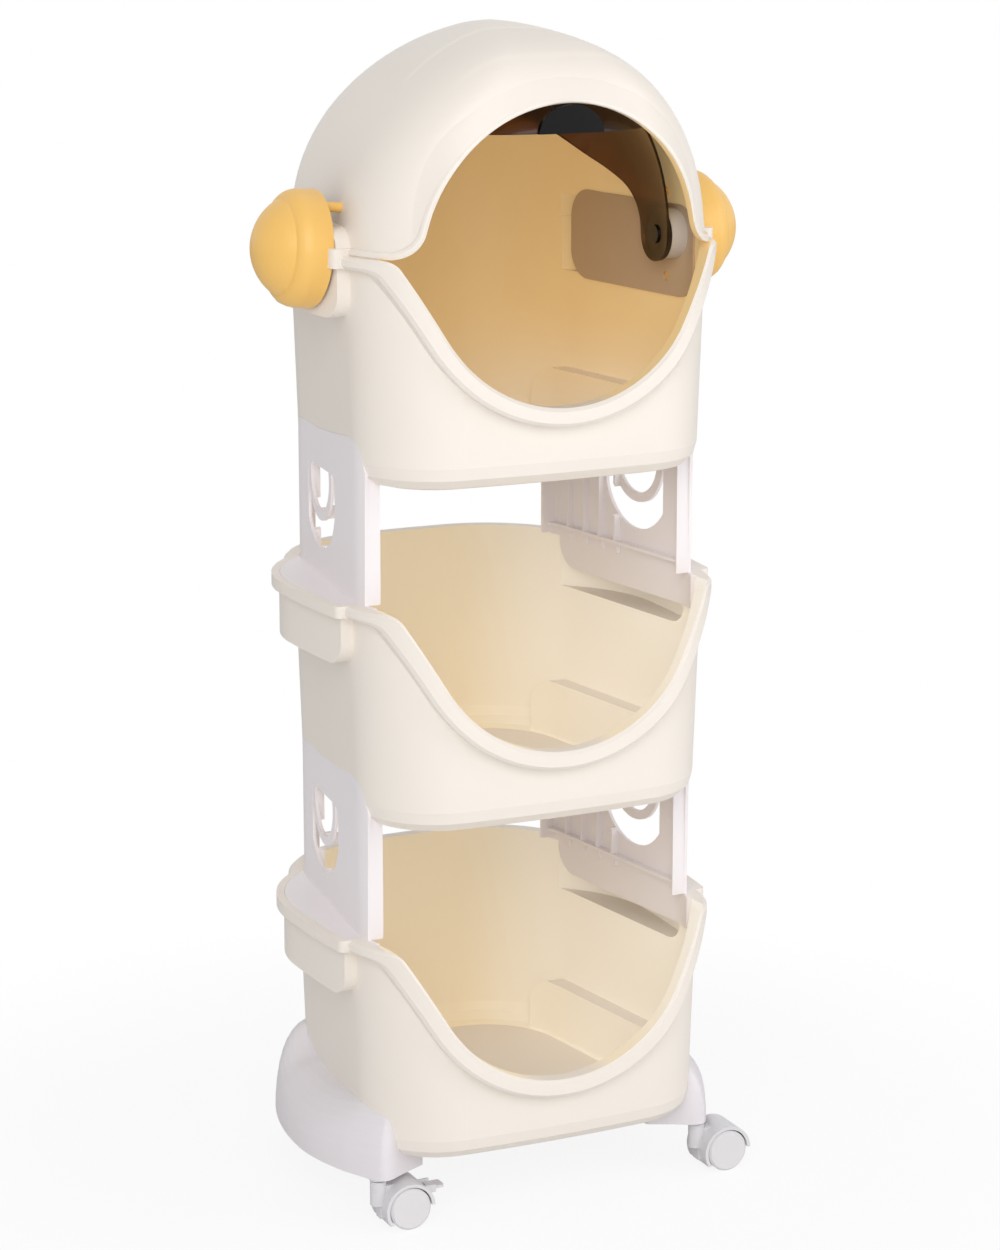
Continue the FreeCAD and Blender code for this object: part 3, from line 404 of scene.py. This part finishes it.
def opening_edge():
    """Places along the dome's opening from rim to rim, each with the way out of the opening."""
    sine, cosine = math.sin(OPENING_LEAN), math.cos(OPENING_LEAN)
    x = (OPENING_R + SHOULDER_R - SHOULDER_R * sine) / cosine
    half = []
    for step in range(SHOULDER_STEPS + 1):
        turn = -QUARTER - (QUARTER - OPENING_LEAN) * step / SHOULDER_STEPS
        away = (-math.cos(turn), -math.sin(turn))
        half.append(((x - SHOULDER_R * away[0], SHOULDER_R - SHOULDER_R * away[1]), away))
    touch, leave = half[-1][0], (OPENING_R * cosine, OPENING_R * sine)
    for step in range(1, FLANK_STEPS):
        share = step / FLANK_STEPS
        between = tuple(start + (end - start) * share for start, end in zip(touch, leave))
        half.append((between, (cosine, sine)))
    for step in range(ARC_STEPS + 1):
        turn = OPENING_LEAN + (QUARTER - OPENING_LEAN) * step / ARC_STEPS
        away = (math.cos(turn), math.sin(turn))
        half.append(((OPENING_R * away[0], OPENING_R * away[1]), away))
    mirrored = [((-point[0], point[1]), (-away[0], away[1])) for point, away in half[-2::-1]]
    return half + mirrored


def dome_flare():
    """The flared lip round the dome's opening: a round crest that runs out into the wall."""
    places = opening_edge()
    middle = (len(places) - 1) / 2
    verts = []
    for count, (point, away) in enumerate(places):
        run = min((middle - abs(count - middle)) / (middle * FLARE_RUN), 1.0)
        wide = FLARE_END + (FLARE_WIDE - FLARE_END) * run * run * (3 - 2 * run)
        for across, rise in FLARE_SECTION:
            x = point[0] + away[0] * across * wide
            z = RIM_Z + max(point[1] + away[1] * across * wide, FLARE_LIFT)
            wall = dome_front(x, z)
            verts.append((x, wall + (front_plan(x, LIP_OUT) - wall) * rise, z))
    size = len(FLARE_SECTION)
    corners = (0, 1, size + 1, size)
    faces = [tuple(row * size + i + corner for corner in corners)
             for row in range(len(places) - 1) for i in range(size - 1)]
    add_piece("dome_flare", verts, faces, "dome")


def add_piece(name, verts, faces, finish, body="unit"):
    """A smooth-shaded mesh piece that rides on a body."""
    mesh = bpy.data.meshes.new(name)
    mesh.from_pydata(verts, [], faces)
    mesh.update()
    mesh.shade_smooth()
    mesh.materials.append(FINISHES[finish].material)
    piece = bpy.data.objects.new(name, mesh)
    bpy.context.scene.collection.objects.link(piece)
    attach(piece, body)


def dress():
    """Gives every piece its finish."""
    slots = {row["node"]: row["material_slot"] for row in frame["record"]["subparts"]}
    for name, node in frame["nodes"].items():
        finish = SPECIAL.get(name, slots[name])
        node.data.materials.clear()
        node.data.materials.append(FINISHES[finish].material)


def add_camera():
    """The camera at the photographed angle."""
    data = bpy.data.cameras.new("camera")
    data.lens = LENS
    data.sensor_width = SENSOR_WIDE
    camera = bpy.data.objects.new("camera", data)
    bpy.context.scene.collection.objects.link(camera)
    level = math.cos(CAMERA_TIP)
    ahead = Vector((level * math.sin(CAMERA_TURN), level * math.cos(CAMERA_TURN),
                    -math.sin(CAMERA_TIP)))
    camera.location = CAMERA_PLACE
    camera.rotation_euler = ahead.to_track_quat("-Z", "Y").to_euler()
    bpy.context.scene.camera = camera


def add_lamp(name, place, aim, size, power):
    """A soft square studio lamp."""
    data = bpy.data.lights.new(name, "AREA")
    data.size = size
    data.energy = power
    lamp = bpy.data.objects.new(name, data)
    bpy.context.scene.collection.objects.link(lamp)
    lamp.location = place
    lamp.rotation_euler = (Vector(aim) - Vector(place)).to_track_quat("-Z", "Y").to_euler()


def add_surroundings():
    """White all round: full white to the camera and in reflections, dimmer as light."""
    world = bpy.data.worlds.new("studio")
    world.use_nodes = True
    bpy.context.scene.world = world
    tree = world.node_tree
    background = tree.nodes["Background"]
    paths = tree.nodes.new("ShaderNodeLightPath")
    level = tree.nodes.new("ShaderNodeMapRange")
    level.inputs["To Min"].default_value = SURROUND_LIT
    level.inputs["To Max"].default_value = SURROUND_SEEN
    highest = tree.nodes.new("ShaderNodeMath")
    highest.operation = "MAXIMUM"
    tree.links.new(paths.outputs["Is Camera Ray"], highest.inputs[0])
    tree.links.new(paths.outputs["Is Glossy Ray"], highest.inputs[1])
    tree.links.new(highest.outputs[0], level.inputs["Value"])
    tree.links.new(level.outputs[0], background.inputs["Strength"])
    background.inputs["Color"].default_value = (*WHITE, 1.0)


def add_floor():
    """One flat square under the object."""
    mesh = bpy.data.meshes.new("floor")
    corners = [(-1, -1), (1, -1), (1, 1), (-1, 1)]
    mesh.from_pydata([(FLOOR_REACH * x, FLOOR_REACH * y, 0) for x, y in corners], [],
                     [(0, 1, 2, 3)])
    floor = bpy.data.objects.new("floor", mesh)
    bpy.context.scene.collection.objects.link(floor)
    mesh.materials.append(floor_finish().material)


dress()
dome_flare()
add_camera()
add_surroundings()
for lamp_name, lamp_values in LAMPS.items():
    add_lamp(lamp_name, *lamp_values)
add_floor()
bpy.context.scene.view_settings.view_transform = "Standard"
